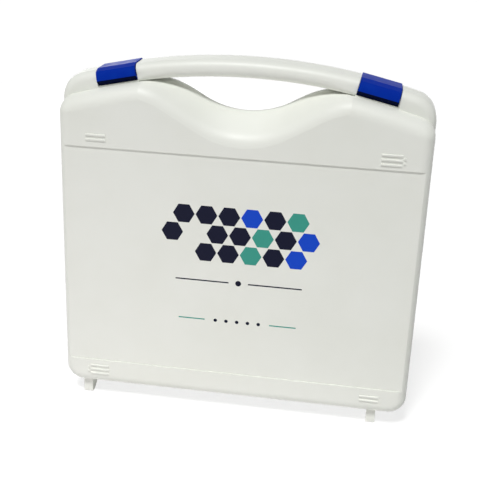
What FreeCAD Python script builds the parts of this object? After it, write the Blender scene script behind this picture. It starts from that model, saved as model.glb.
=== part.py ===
import FreeCAD, Part
import math
import operator
import os

import Sketcher

# Hard plastic carrying case for a hand-held bench instrument, closed and standing on its four feet.
# X runs across the case, Y from the lid (-Y) to the base (+Y) with the parting plane at Y = 0, Z is up.
# The origin is under the middle of the case, on the surface that the feet stand on. Millimetres.

Vector = FreeCAD.Vector
DOCUMENT = FreeCAD.newDocument("CarryingCase")

# Driving dimensions

SIZES = (
    ("case_width", 292.5, "across both shells"),
    ("foot_height", 12.4, "surface to the underside of the shells"),
    ("crown_height", 285.3, "underside of the shells to the top of the handle"),
    ("crown_radius", 480.0, "arc of the handle's top, seen from the front"),
    ("rim_height", 13.6, "handle and rim band, seen from the front"),
    ("rim_depth", 15.0, "half of the handle's thickness"),
    ("rim_round", 6.5, "top front edge of the handle and rim band"),
    ("grip_round", 6.6, "lower front edge of the handle"),
    ("grip_start", 3.0, "lower front edge of the handle at the latches"),
    ("grip_run", 29.0, "stretch over which that rounding grows"),
    ("grip_gap", 3.0, "end of the grip rounding to a latch"),
    ("rim_corner", 20.0, "top corners of the rim band"),
    ("shell_depth", 28.0, "parting plane to the front of one shell"),
    ("wall", 2.4, "moulded wall"),
    ("base_corner", 15.0, "lower corners of the shells"),
    ("shoulder_corner", 14.0, "upper corners of the deep part of the shells"),
    ("shoulder_round", 12.5, "upper front edge of the deep part"),
    ("side_round", 8.5, "side and lower front edges"),
    ("step_height", 23.0, "underside to the sunk panel's lower edge"),
    ("panel_fall", 72.6, "top of the handle to the sunk panel's upper edge"),
    ("panel_sink", 1.0, "depth of the sunk panel"),
    ("saddle_drop", 41.5, "top of the handle to the lowest point of the hand opening"),
    ("saddle_radius", 70.0, "arc of the hand opening's floor"),
    ("flank_angle", 30.0, "slope of the opening's floor at its ends"),
    ("crest_depth", 6.0, "parting plane to the front crest of the opening's floor"),
    ("slope_angle", 38.0, "slope from the crest to the front"),
    ("saddle_round", 16.0, "rounding from the slope into the front"),
    ("crest_softness", 2.0, "rounding of the crest"),
    ("blend_height", 9.0, "height over which saddle and shoulder run together"),
    ("blend_exit", 78.0, "half of the width of the saddle's influence"),
    ("blend_rise", 0.12, "slope at which the saddle leaves the shoulder"),
    ("saddle_wall", 3.1, "upright thickness of the saddle's wall"),
    ("channel_wall", 3.0, "wall round the hollow of the handle"),
    ("channel_end", 6.0, "end of the handle's hollow to a latch seat"),
    ("channel_round", 3.0, "corners and deep edges of the handle's hollow"),
    ("rib_length", 16.0, "stacking rib"),
    ("rib_width", 1.6, "stacking rib"),
    ("rib_rise", 0.8, "stacking rib above the front"),
    ("rib_pitch", 3.8, "stacking rib to stacking rib"),
    ("rib_inset", 30.75, "side of the case to the middle of a rib group"),
    ("rib_above", 7.8, "panel's upper edge to the upper rib groups"),
    ("rib_below", 9.2, "panel's lower edge to the lower rib groups"),
    ("nub_radius", 0.8, "locating nub beside three ribs"),
    ("nub_gap", 1.9, "rib's end to nub's middle"),
    ("lug_width", 7.5, "foot and hinge lug"),
    ("lug_inset", 27.75, "side of the case to the inner lug"),
    ("lug_gap", 2.0, "between the lid's lug and the base's lug"),
    ("foot_front", 22.0, "parting plane to the front of a foot"),
    ("foot_sole", 6.5, "depth of a foot's sole"),
    ("foot_toe", 1.5, "rounding of a foot's front edge"),
    ("heel_run", 9.0, "depth over which the lug rises behind the sole"),
    ("heel_rise", 4.6, "height that the lug rises there"),
    ("hinge_drop", 6.6, "underside of the shells to the hinge axis"),
    ("knuckle_radius", 4.0, "hinge lug round its pin"),
    ("hinge_pin_radius", 1.5, "steel hinge pin"),
    ("running_gap", 0.05, "radial clearance of a turning pin"),
    ("seated_gap", 0.02, "radial clearance of a seated pin"),
    ("pin_chamfer", 0.3, "ends of the steel pins"),
    ("latch_inset", 43.25, "side of the case to the middle of a latch"),
    ("latch_length", 32.0, "latch along the rim"),
    ("latch_skin", 2.4, "latch wall"),
    ("latch_proud", 0.6, "latch outside above the rim"),
    ("latch_gap", 0.3, "latch inside to its seat"),
    ("latch_side_gap", 0.5, "latch end to the end of its seat"),
    ("latch_lift", 1.4, "shoulder line to the latch's lower edge"),
    ("latch_nose", 2.8, "finger nose in front of the rim"),
    ("latch_undercut", 3.8, "height of the undercut below the nose"),
    ("latch_lip", 1.4, "thickness of the latch's lower edge"),
    ("latch_slope", 1.8, "fall of the latch's top towards its crease"),
    ("latch_bulge", 14.0, "arc of the latch's front"),
    ("latch_end_round", 0.6, "outer edges at the latch's ends"),
    ("latch_crease", 1.2, "rounding of the crease across the latch"),
    ("pivot_depth", 5.0, "latch pivot below the top and behind the rear of the rim"),
    ("latch_pin_radius", 1.25, "steel latch pin"),
    ("latch_pin_hold", 3.0, "latch pin inside the rim, each end"),
    ("seam", 0.35, "broken outer edge at the parting plane"),
    ("foam_gap", 0.4, "foam to its shell"),
    ("foam_corner", 16.0, "foam's lower corners"),
    ("foam_fall", 51.7, "top of the handle to the foam's upper edge at its sides"),
    ("foam_dip", 24.0, "hollow in the foam's upper edge"),
    ("foam_dip_half", 72.0, "half of the hollow's width"),
    ("floor_foam", 5.0, "pad at the bottom of the base"),
    ("pocket_foam", 19.5, "foam with the pockets"),
    ("lid_foam", 22.0, "foam in the lid"),
    ("pocket_round", 6.0, "corners of the pockets"),
    ("unit_width", 158.0, "pocket for the instrument"),
    ("unit_left", 118.0, "middle of the case to the instrument pocket's far side"),
    ("unit_bottom", 110.0, "surface to the instrument pocket's lower side"),
    ("notch_radius", 15.0, "finger notches of the instrument pocket"),
    ("notch_half", 13.0, "half of the width of a finger notch"),
    ("side_pocket_width", 62.0, "pocket beside the instrument"),
    ("pocket_bar", 14.0, "foam between pockets"),
    ("lead_width", 150.0, "pocket for leads"),
    ("lead_height", 60.0, "pocket for leads"),
)

SHEET = DOCUMENT.addObject("Spreadsheet::Sheet", "Sizes")
for row, (size_name, size_value, size_note) in enumerate(SIZES, start=1):
    SHEET.set("A%d" % row, size_note)
    SHEET.set("B%d" % row, str(size_value))
    SHEET.setAlias("B%d" % row, size_name)
DOCUMENT.recompute()


class Size:
    """A number that keeps the sheet formula it comes from, so that features can be bound to it."""

    def __init__(self, value, formula):
        self.value = float(value)
        self.formula = formula

    def joined(self, other, sign, rule, swapped=False):
        if not isinstance(other, Size):
            other = Size(other, repr(float(other)))
        first, second = (other, self) if swapped else (self, other)
        return Size(rule(first.value, second.value), "(%s %s %s)" % (first.formula, sign, second.formula))

    def __add__(self, other):
        return self.joined(other, "+", operator.add)

    def __radd__(self, other):
        return self.joined(other, "+", operator.add, swapped=True)

    def __sub__(self, other):
        return self.joined(other, "-", operator.sub)

    def __rsub__(self, other):
        return self.joined(other, "-", operator.sub, swapped=True)

    def __mul__(self, other):
        return self.joined(other, "*", operator.mul)

    def __rmul__(self, other):
        return self.joined(other, "*", operator.mul, swapped=True)

    def __truediv__(self, other):
        return self.joined(other, "/", operator.truediv)

    def __neg__(self):
        return Size(-self.value, "(-1 * %s)" % self.formula)

    def root(self):
        return Size(math.sqrt(self.value), "sqrt(%s)" % self.formula)


def size(name):
    """The named cell of the sheet."""
    return Size(SHEET.get(name), "Sizes.%s" % name)


def bind(feature, prop, length):
    """Sets a property to a size and keeps it bound to the sheet."""
    setattr(feature, prop, length.value)
    feature.setExpression(prop, length.formula)


def arc_height(crown, radius, across):
    """Height of an arc with its crown over the middle of the case, at a distance across."""
    return crown - radius + (radius * radius - across * across).root()


# Levels and places that several pieces share

HALF_WIDTH = size("case_width") / 2
UNDERSIDE = size("foot_height")
CROWN = UNDERSIDE + size("crown_height")
SHOULDER = CROWN - size("rim_height")
SHOULDER_RADIUS = size("crown_radius") - size("rim_height")
HINGE_LEVEL = UNDERSIDE - size("hinge_drop")
INNER_LUG = HALF_WIDTH - size("lug_inset")
OUTER_LUG = INNER_LUG + size("lug_width") + size("lug_gap")
PANEL_LOW = UNDERSIDE + size("step_height")
PANEL_HIGH = CROWN - size("panel_fall")
LATCH_CENTRE = HALF_WIDTH - size("latch_inset")
GRIP_END = LATCH_CENTRE - size("latch_length") / 2 - size("grip_gap")
SEAT_SINK = size("latch_skin") + size("latch_gap") - size("latch_proud")
BARREL_RADIUS = size("pivot_depth") + size("latch_proud")
FOAM_TOP = CROWN - size("foam_fall")

# Workbench helpers

UPRIGHT = FreeCAD.Rotation(Vector(1, 0, 0), 90)
SIDEWAYS = FreeCAD.Rotation(Vector(1, 1, 1), 120)
SHELL_PLACE = FreeCAD.Placement()
TURNED_PLACE = FreeCAD.Placement(Vector(0, 0, 0), FreeCAD.Rotation(Vector(0, 0, 1), 180))
MARGIN = 20.0
OVERLAP = 1.0
SADDLE_REACH = 96.0
SADDLE_COLUMNS = 65
SADDLE_ROWS = 21
FACE_OVERSHOOT = 0.1


def arc_between(start, end, radius):
    """A circular arc from start to end; a positive radius bulges out of a counterclockwise outline."""
    chord = end - start
    half = chord.Length / 2
    sagitta = math.sqrt(max(radius * radius - half * half, 0.0))
    left = Vector(-chord.y, chord.x, 0).normalize()
    side = 1 if radius > 0 else -1
    centre = (start + end) * 0.5 + left * (side * sagitta)
    first, last = (start, end) if radius > 0 else (end, start)
    begin = math.atan2(first.y - centre.y, first.x - centre.x)
    finish = math.atan2(last.y - centre.y, last.x - centre.x)
    circle = Part.Circle(centre, Vector(0, 0, 1), abs(radius))
    return Part.ArcOfCircle(circle, begin, finish)


def hold_point(sketch, curve, corner, place):
    """Fixes one corner of a sketch by its two distances from the sketch's origin."""
    for kind, length, axis in (("DistanceX", place[0], -2), ("DistanceY", place[1], -1)):
        if abs(length.value) < 1e-9:
            sketch.addConstraint(Sketcher.Constraint("PointOnObject", curve, corner, axis))
            continue
        index = sketch.addConstraint(Sketcher.Constraint(kind, -1, 1, curve, corner, length.value))
        sketch.setExpression("Constraints[%d]" % index, length.formula)


def draw(sketch, points, bends=None):
    """Draws a closed outline; bends maps a point's index to the radius of the arc that follows it."""
    bends = bends or {}
    corners = [Vector(across.value, up.value, 0) for across, up in points]
    ends = []
    for index, start in enumerate(corners):
        end = corners[(index + 1) % len(corners)]
        if index not in bends:
            curve = sketch.addGeometry(Part.LineSegment(start, end))
            ends.append((curve, 1, 2))
            continue
        radius = bends[index]
        curve = sketch.addGeometry(arc_between(start, end, radius.value))
        ends.append((curve, 1, 2) if radius.value > 0 else (curve, 2, 1))
        bend = sketch.addConstraint(Sketcher.Constraint("Radius", curve, abs(radius.value)))
        sketch.setExpression("Constraints[%d]" % bend, "abs(%s)" % radius.formula)
    for index, (curve, first, last) in enumerate(ends):
        following, next_first, _ = ends[(index + 1) % len(ends)]
        sketch.addConstraint(Sketcher.Constraint("Coincident", curve, last, following, next_first))
        hold_point(sketch, curve, first, points[index])
    return sketch


def loose_sketch(name, rotation, points, bends=None):
    """A sketch on a plane of the document, for the Part features of the shells."""
    sketch = DOCUMENT.addObject("Sketcher::SketchObject", name)
    sketch.Placement = FreeCAD.Placement(Vector(0, 0, 0), rotation)
    return draw(sketch, points, bends)


def extrusion(name, sketch, forward, backward=None):
    """A solid made from a sketch, along the sketch's normal and back."""
    solid = DOCUMENT.addObject("Part::Extrusion", name)
    solid.Base = sketch
    solid.DirMode = "Normal"
    solid.Solid = True
    bind(solid, "LengthFwd", forward)
    if backward is not None:
        bind(solid, "LengthRev", backward)
    DOCUMENT.recompute()
    return solid


def chosen_edges(shape, test):
    """One-based numbers of the edges whose middle passes the test."""
    numbers = []
    for number, edge in enumerate(shape.Edges, start=1):
        middle = edge.valueAt((edge.FirstParameter + edge.LastParameter) / 2)
        if test(edge, middle):
            numbers.append(number)
    return numbers


def rounded(name, base, edges):
    """Part fillet of a feature; edges are (number, radius at start, radius at end)."""
    fillet = DOCUMENT.addObject("Part::Fillet", name)
    fillet.Base = base
    fillet.Edges = edges
    DOCUMENT.recompute()
    return fillet


def cut(name, base, tool):
    """Base less tool."""
    result = DOCUMENT.addObject("Part::Cut", name)
    result.Base = base
    result.Tool = tool
    result.Refine = True
    DOCUMENT.recompute()
    return result


def fused(name, pieces):
    """Several features as one solid."""
    result = DOCUMENT.addObject("Part::MultiFuse", name)
    result.Shapes = pieces
    result.Refine = True
    DOCUMENT.recompute()
    return result


def block(name, low, high):
    """A box between two corners given as sizes."""
    box = DOCUMENT.addObject("Part::Box", name)
    for prop, first, last in zip(("Length", "Width", "Height"), low, high):
        bind(box, prop, last - first)
    for axis, first in zip("xyz", low):
        box.setExpression("Placement.Base.%s" % axis, first.formula)
    box.Placement.Base = Vector(*(first.value for first in low))
    return box


def plain(value):
    """A bare number as a size."""
    return Size(value, repr(float(value)))


def runs_deep(edge, middle):
    """True for an edge along Y."""
    direction = edge.tangentAt(edge.FirstParameter)
    return abs(direction.y) > 0.99


def new_body(label):
    """An empty PartDesign body."""
    body = DOCUMENT.addObject("PartDesign::Body", label)
    body.Label = label
    return body


def body_sketch(body, name, role, offset=None):
    """An empty sketch on one of the body's own planes, or at an offset in front of it."""
    sketch = body.newObject("Sketcher::SketchObject", name)
    support = [feature for feature in body.Origin.OriginFeatures if feature.Role == role][0]
    sketch.AttachmentSupport = [(support, "")]
    sketch.MapMode = "FlatFace"
    if offset is not None:
        sketch.AttachmentOffset = FreeCAD.Placement(Vector(0, 0, offset.value), FreeCAD.Rotation())
        sketch.setExpression("AttachmentOffset.Base.z", offset.formula)
    return sketch


def circle(sketch, across, up, radius):
    """A circle with its middle and radius held by the sheet."""
    curve = sketch.addGeometry(Part.Circle(Vector(across.value, up.value, 0), Vector(0, 0, 1), radius.value))
    hold_point(sketch, curve, 3, (across, up))
    index = sketch.addConstraint(Sketcher.Constraint("Radius", curve, radius.value))
    sketch.setExpression("Constraints[%d]" % index, radius.formula)
    return sketch


def pad(body, name, sketch, length, midplane=False):
    """Material grown from a sketch."""
    feature = body.newObject("PartDesign::Pad", name)
    feature.Profile = sketch
    bind(feature, "Length", length)
    feature.Midplane = midplane
    DOCUMENT.recompute()
    body.Tip = feature
    return feature


def pocket(body, name, sketch, length, midplane=False, reverse=False):
    """Material taken away behind a sketch; the volume shows that it points the right way."""
    before = body.Shape.Volume
    feature = body.newObject("PartDesign::Pocket", name)
    feature.Profile = sketch
    bind(feature, "Length", length)
    feature.Midplane = midplane
    feature.Reversed = reverse
    DOCUMENT.recompute()
    body.Tip = feature
    DOCUMENT.recompute()
    if body.Shape.Volume >= before - 1e-6:
        raise RuntimeError("%s cuts nothing" % name)
    return feature


def dressed(body, kind, name, prop, length, test):
    """Rounds or chamfers the edges of a body that pass the test."""
    base = body.Tip
    edges = ["Edge%d" % number for number in chosen_edges(base.Shape, test)]
    feature = body.newObject("PartDesign::%s" % kind, name)
    feature.Base = (base, edges)
    bind(feature, prop, length)
    DOCUMENT.recompute()
    body.Tip = feature
    return feature


# The outside of the deep part of a shell, and the same form inside its walls


def saddle_floor(across):
    """Height of the hand opening's floor."""
    radius = size("saddle_radius").value
    angle = math.radians(size("flank_angle").value)
    lowest = CROWN.value - size("saddle_drop").value
    reach = radius * math.sin(angle)
    if abs(across) < reach:
        return lowest + radius - math.sqrt(radius * radius - across * across)
    return lowest + radius * (1 - math.cos(angle)) + (abs(across) - reach) * math.tan(angle)


def fall(depth, front, crest, angle, radius):
    """Drop from the crest at a depth in front of it: a straight slope, then an arc into the front."""
    turned = math.pi / 2 - angle
    arc_start = front - radius * (1 - math.cos(turned))
    run = min(depth, arc_start) - crest
    softness = size("crest_softness").value
    drop = math.tan(angle) * (run + math.sqrt(run * run + softness * softness)) / 2
    if depth > arc_start:
        ratio = min((front - radius - depth) / -radius, 1.0)
        drop += radius * (math.sin(turned) - math.sqrt(1 - ratio * ratio))
    return drop


def soft_lower(first, second, height):
    """The lower of two heights, run together where they differ by less than height."""
    share = max(height - abs(first - second), 0.0) / height
    return min(first, second) - share * share * height / 4


def saddle_height(across, depth, front, inset, drop):
    """Height of the outside above a point of the parting plane, drawn in by a wall's inset."""
    saddle = saddle_floor(across) - drop
    saddle -= fall(depth, front, size("crest_depth").value, math.radians(size("slope_angle").value),
                   size("saddle_round").value - inset)
    shoulder = arc_height(SHOULDER, SHOULDER_RADIUS, plain(across)).value - inset
    shoulder -= fall(depth, front, front, math.radians(0.01), size("shoulder_round").value - inset)
    shoulder += size("blend_rise").value * (abs(across) - size("blend_exit").value)
    return soft_lower(saddle, shoulder, size("blend_height").value)


def saddle_tool(name, inset, drop):
    """All that lies above the saddle, as a solid to be cut away."""
    front = size("shell_depth").value - inset + FACE_OVERSHOOT
    rows = []
    for row in range(SADDLE_ROWS):
        turn = math.pi / 2 * row / (SADDLE_ROWS - 1)
        depth = (front + OVERLAP) * math.sin(turn) - OVERLAP
        line = []
        for column in range(SADDLE_COLUMNS):
            across = SADDLE_REACH * (2.0 * column / (SADDLE_COLUMNS - 1) - 1)
            line.append(Vector(across, -depth, saddle_height(across, depth, front, inset, drop)))
        rows.append(line)
    surface = Part.BSplineSurface()
    surface.interpolate(rows)
    tool = DOCUMENT.addObject("Part::Feature", name)
    tool.Shape = surface.toShape().extrude(Vector(0, 0, CROWN.value))
    return tool


def deep_part(name, inset, drop):
    """The deep part of a shell as a solid, or the space inside its walls."""
    side = HALF_WIDTH - inset
    low = UNDERSIDE + inset
    radius = SHOULDER_RADIUS - inset
    high = arc_height(SHOULDER - inset, radius, side)
    depth = size("shell_depth") - inset
    corners = [(-side, low), (side, low), (side, high), (-side, high)]
    outline = loose_sketch(name + "Outline", UPRIGHT, corners, {2: radius})
    solid = extrusion(name + "Block", outline, depth)
    middle = (low.value + high.value) / 2
    corners = []
    for number in chosen_edges(solid.Shape, runs_deep):
        edge = solid.Shape.Edges[number - 1]
        lower = edge.CenterOfMass.z < middle
        corner = size("base_corner").value if lower else size("shoulder_corner").value
        corners.append((number, corner - inset, corner - inset))
    solid = rounded(name + "Corners", solid, corners)
    side_radius = size("side_round").value - inset
    top_radius = size("shoulder_round").value - inset
    rim = []
    front = -depth.value
    for number in chosen_edges(solid.Shape, lambda edge, place: abs(place.y - front) < 1e-4):
        edge = solid.Shape.Edges[number - 1]
        first = edge.valueAt(edge.FirstParameter)
        last = edge.valueAt(edge.LastParameter)
        radii = []
        for end in (first, last):
            over_shoulder = abs(end.x) < side.value - 1 and end.z > middle
            radii.append(top_radius if over_shoulder else side_radius)
        rim.append((number, radii[0], radii[1]))
    solid = rounded(name + "Rounded", solid, rim)
    return cut(name, solid, saddle_tool(name + "Saddle", inset, drop))


def rim_band():
    """The handle's half and the band that carries it from corner to corner."""
    side = HALF_WIDTH
    crown = size("crown_radius")
    grip_half = GRIP_END - size("grip_run")
    top = arc_height(CROWN, crown, side)
    buried = arc_height(SHOULDER, SHOULDER_RADIUS, side) - size("shoulder_corner") - OVERLAP
    run_out = arc_height(SHOULDER, SHOULDER_RADIUS, GRIP_END)
    held = arc_height(SHOULDER, SHOULDER_RADIUS, grip_half)
    points = [(side, top), (-side, top), (-side, buried), (-GRIP_END, run_out - size("rim_round")),
              (-GRIP_END, run_out), (-grip_half, held), (grip_half, held), (GRIP_END, run_out),
              (GRIP_END, run_out - size("rim_round")), (side, buried)]
    bends = {0: crown, 4: -SHOULDER_RADIUS, 5: -SHOULDER_RADIUS, 6: -SHOULDER_RADIUS}
    outline = loose_sketch("RimOutline", UPRIGHT, points, bends)
    solid = extrusion("RimBlock", outline, size("rim_depth"))
    middle = top.value - 1
    corner = size("rim_corner").value
    picked = chosen_edges(solid.Shape, lambda edge, place: (
        runs_deep(edge, place) and place.z > middle and abs(place.x) > side.value - 1))
    solid = rounded("RimCorners", solid, [(number, corner, corner) for number in picked])
    front = -size("rim_depth").value
    upper = size("rim_round").value
    lower = size("grip_round").value
    start = size("grip_start").value
    edges = []
    for number in chosen_edges(solid.Shape, lambda edge, place: abs(place.y - front) < 1e-4):
        edge = solid.Shape.Edges[number - 1]
        place = edge.valueAt((edge.FirstParameter + edge.LastParameter) / 2)
        on_shoulder = abs(place.z - arc_height(SHOULDER, SHOULDER_RADIUS, plain(place.x)).value) < 0.01
        if on_shoulder and abs(place.x) < grip_half.value:
            edges.append((number, lower, lower))
        elif on_shoulder:
            first = edge.valueAt(edge.FirstParameter)
            starts_outside = abs(abs(first.x) - GRIP_END.value) < 0.01
            radii = (start, lower) if starts_outside else (lower, start)
            edges.append((number,) + radii)
        elif place.z > buried.value and abs(place.x) > side.value - 0.01 or place.z > middle:
            edges.append((number, upper, upper))
    return rounded("RimBand", solid, edges)


# What is taken out of a shell and what is added to it


def hollow_of_handle():
    """The space inside one half of the handle, open at the parting plane."""
    wall = size("channel_wall")
    half = LATCH_CENTRE - size("latch_length") / 2 - size("latch_side_gap") - size("channel_end")
    outer = size("crown_radius") - wall
    inner = SHOULDER_RADIUS + wall
    top = arc_height(CROWN - wall, outer, half)
    low = arc_height(SHOULDER + wall, inner, half)
    outline = loose_sketch("ChannelOutline", UPRIGHT, [(half, top), (-half, top), (-half, low), (half, low)],
                           {0: outer, 2: -inner})
    depth = size("rim_depth") - wall
    solid = extrusion("ChannelBlock", outline, depth, plain(OVERLAP))
    front = -depth.value
    radius = size("channel_round").value
    corners = chosen_edges(solid.Shape, runs_deep)
    solid = rounded("ChannelCorners", solid, [(number, radius, radius) for number in corners])
    edges = chosen_edges(solid.Shape, lambda edge, place: abs(place.y - front) < 1e-4)
    return rounded("HandleHollow", solid, [(number, radius, radius) for number in edges])


def latch_frame(side):
    """Placement with X along the rim's tangent, Y across the case and Z out of the rim, at a latch."""
    tilt = math.degrees(math.asin(LATCH_CENTRE.value / size("crown_radius").value))
    level = arc_height(CROWN, size("crown_radius"), LATCH_CENTRE)
    return FreeCAD.Placement(Vector(side * LATCH_CENTRE.value, 0, level.value),
                             FreeCAD.Rotation(Vector(0, 1, 0), side * tilt))


def across_latch(name, side, points, bends, reach):
    """A profile drawn across the rim and extruded along it, both ways from the latch's middle."""
    outline = loose_sketch(name + "Outline", SIDEWAYS, points, bends)
    frame = latch_frame(side)
    outline.Placement = frame.multiply(FreeCAD.Placement(Vector(0, 0, 0), SIDEWAYS))
    outline.setExpression("Placement.Base.x", (side * LATCH_CENTRE).formula)
    outline.setExpression("Placement.Base.z", arc_height(CROWN, size("crown_radius"), LATCH_CENTRE).formula)
    return extrusion(name, outline, reach, reach)


SEAT_REACH = size("latch_length") / 2 + size("latch_side_gap")
SEAT_FRONT = size("rim_depth") - SEAT_SINK
LATCH_LOW = size("rim_height") - size("latch_lift")
PIVOT_BACK = size("rim_depth") - size("pivot_depth")


def lid_seat(name, side):
    """Recess over the rim's top and front in which the latch's hook lies."""
    corner = size("rim_round")
    inner = corner - SEAT_SINK
    free = plain(MARGIN)
    points = [(plain(OVERLAP), free), (-size("rim_depth") - free, free),
              (-size("rim_depth") - free, -LATCH_LOW - size("latch_gap")),
              (-SEAT_FRONT, -LATCH_LOW - size("latch_gap")), (-SEAT_FRONT, -corner),
              (-size("rim_depth") + corner, -SEAT_SINK), (plain(OVERLAP), -SEAT_SINK)]
    return across_latch(name, side, points, {4: -inner}, SEAT_REACH)


def latch_rod(name, side, radius, inner, outer):
    """A cylinder on a latch's pivot, drawn with the base turned round; inner is the end near the handle."""
    rod = DOCUMENT.addObject("Part::Cylinder", name)
    bind(rod, "Radius", radius)
    bind(rod, "Height", inner + outer)
    start = inner if side > 0 else outer
    local = FreeCAD.Placement(Vector(-start.value, -PIVOT_BACK.value, -size("pivot_depth").value),
                              FreeCAD.Rotation(Vector(0, 1, 0), 90))
    rod.Placement = latch_frame(side).multiply(local)
    return rod


def base_seat(name, side):
    """Recess for the latch's top and the round trough for its barrel."""
    free = plain(MARGIN)
    trough = BARREL_RADIUS + size("latch_gap")
    rear = -PIVOT_BACK - trough
    points = [(plain(OVERLAP), free), (rear, free), (rear, -size("pivot_depth")),
              (-PIVOT_BACK, -size("pivot_depth")), (-PIVOT_BACK, -SEAT_SINK), (plain(OVERLAP), -SEAT_SINK)]
    recess = across_latch(name + "Recess", side, points, {}, SEAT_REACH)
    return fused(name, [recess, latch_rod(name + "Trough", side, trough, SEAT_REACH, SEAT_REACH)])


def pin_bore(name, side):
    """Bore of a latch pin: blind on the corner's side, open into the handle's hollow on the other."""
    return latch_rod(name, side, size("latch_pin_radius") + size("seated_gap"),
                     SEAT_REACH + size("channel_end") + OVERLAP, SEAT_REACH + size("latch_pin_hold"))


def sunk_panel():
    """The shallow field between the two step lines, across the whole front."""
    front = size("shell_depth")
    sides = HALF_WIDTH + MARGIN
    return block("SunkPanel", (-sides, -front - MARGIN, PANEL_LOW),
                 (sides, -front + size("panel_sink"), PANEL_HIGH))


def stacking_ribs():
    """Raised bars at the four corners of the front: two against three, so that cases lock in a stack."""
    front = size("shell_depth")
    length = size("rib_length")
    width = size("rib_width")
    ribs = []
    upper = PANEL_HIGH + size("rib_above")
    lower = PANEL_LOW - size("rib_below")
    groups = (("UpperLeft", -1, upper, 2), ("UpperRight", 1, upper, 3), ("LowerLeft", -1, lower, 3),
              ("LowerRight", 1, lower, 2))
    for group, side, level, count in groups:
        middle = side * (HALF_WIDTH - size("rib_inset"))
        for index in range(count):
            height = level + size("rib_pitch") * (index - (count - 1) / 2)
            bar = block("Rib%s%d" % (group, index + 1),
                        (middle - length / 2, -front - size("rib_rise"), height - width / 2),
                        (middle + length / 2, -front + OVERLAP, height + width / 2))
            ribs.append(rounded(bar.Name + "Rounded", bar, rib_edges(bar)))
        nubs = 2 if count == 3 else 0
        for index in range(nubs):
            nub = DOCUMENT.addObject("Part::Cylinder", "Nub%s%d" % (group, index + 1))
            bind(nub, "Radius", size("nub_radius"))
            bind(nub, "Height", size("rib_rise") + OVERLAP)
            place = (middle + side * (length / 2 + size("nub_gap")), -front + OVERLAP,
                     level + size("rib_pitch") * (0.5 - index))
            nub.Placement = FreeCAD.Placement(Vector(*(length.value for length in place)), UPRIGHT)
            for axis, distance in zip("xyz", place):
                nub.setExpression("Placement.Base.%s" % axis, distance.formula)
            ribs.append(nub)
    return ribs


def rib_edges(bar):
    """All the edges of a rib's front, with the rounding that a mould gives them."""
    radius = size("rib_rise").value / 2
    front = bar.Shape.BoundBox.YMin
    edges = chosen_edges(bar.Shape, lambda edge, place: abs(place.y - front) < 1e-4)
    return [(number, radius, radius) for number in edges]


def lug(name, across):
    """A foot with the hinge lug behind it, beside the other shell's lug."""
    radius = size("knuckle_radius")
    back = -size("foot_front") + size("foot_sole")
    heel_back = back + size("heel_run")
    heel_up = size("heel_rise")
    down = HINGE_LEVEL - heel_up
    reach = heel_back * heel_back + down * down
    share = radius * radius / reach
    swing = radius * (reach - radius * radius).root() / reach
    touch = (share * heel_back + swing * down, HINGE_LEVEL - share * down + swing * heel_back)
    top = UNDERSIDE + size("wall") * 0.9
    zero = plain(0.0)
    points = [(-size("foot_front"), top), (-size("foot_front"), zero), (back, zero), (heel_back, heel_up),
              touch, (zero, HINGE_LEVEL), (zero, top)]
    outline = loose_sketch(name + "Outline", SIDEWAYS, points)
    outline.Placement.Base = Vector(across.value, 0, 0)
    outline.setExpression("Placement.Base.x", across.formula)
    solid = extrusion(name + "Block", outline, size("lug_width") / 2, size("lug_width") / 2)
    toe = size("foot_toe").value
    front = -size("foot_front").value
    edges = chosen_edges(solid.Shape, lambda edge, place: abs(place.z) < 1e-4 and place.y < front + 1e-4)
    solid = rounded(name + "Toe", solid, [(number, toe, toe) for number in edges])
    return fused(name, [solid, hinge_rod(name + "Knuckle", across, radius, size("lug_width"))])


def hinge_rod(name, across, radius, length):
    """A cylinder along the hinge axis, with its middle at a distance across."""
    rod = DOCUMENT.addObject("Part::Cylinder", name)
    bind(rod, "Radius", radius)
    bind(rod, "Height", length)
    rod.Placement = FreeCAD.Placement(Vector((across - length / 2).value, 0, HINGE_LEVEL.value),
                                      FreeCAD.Rotation(Vector(0, 1, 0), 90))
    rod.setExpression("Placement.Base.x", (across - length / 2).formula)
    rod.setExpression("Placement.Base.z", HINGE_LEVEL.formula)
    return rod


def lug_bore(name, across, radius):
    """Hole of a hinge pin through one lug."""
    return hinge_rod(name, across, radius, size("lug_width") + 2 * OVERLAP)


def seam(outside):
    """Breaks the outer edge in the parting plane, so that the two shells show a fine groove between them."""
    chamfer = DOCUMENT.addObject("Part::Chamfer", "Seam")
    chamfer.Base = outside
    depth = size("seam").value
    on_plane = chosen_edges(outside.Shape, lambda edge, place: (
        abs(place.y) < 1e-4 and abs(edge.valueAt(edge.FirstParameter).y) < 1e-4))
    chamfer.Edges = [(number, depth, depth) for number in on_plane]
    DOCUMENT.recompute()
    return chamfer


def shell_moulding():
    """What the two shells have in common: walls, rim, handle half, panel, ribs and feet."""
    outside = seam(fused("Outside", [deep_part("Deep", 0.0, 0.0), rim_band()]))
    sunk = cut("OutsideSunk", outside, sunk_panel())
    added = [sunk, lug("OuterLug", -OUTER_LUG), lug("InnerLug", INNER_LUG)] + stacking_ribs()
    grown = fused("OutsideGrown", added)
    hollow = deep_part("Inside", size("wall").value, size("saddle_wall").value)
    return cut("Moulding", cut("Walls", grown, hollow), hollow_of_handle())


def finished(label, feature, tools, placement):
    """The last cuts of one shell, under the shell's own label."""
    shape = cut(label, feature, fused(label + "Cuts", tools))
    shape.Label = label
    shape.Placement = placement
    return shape


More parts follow.
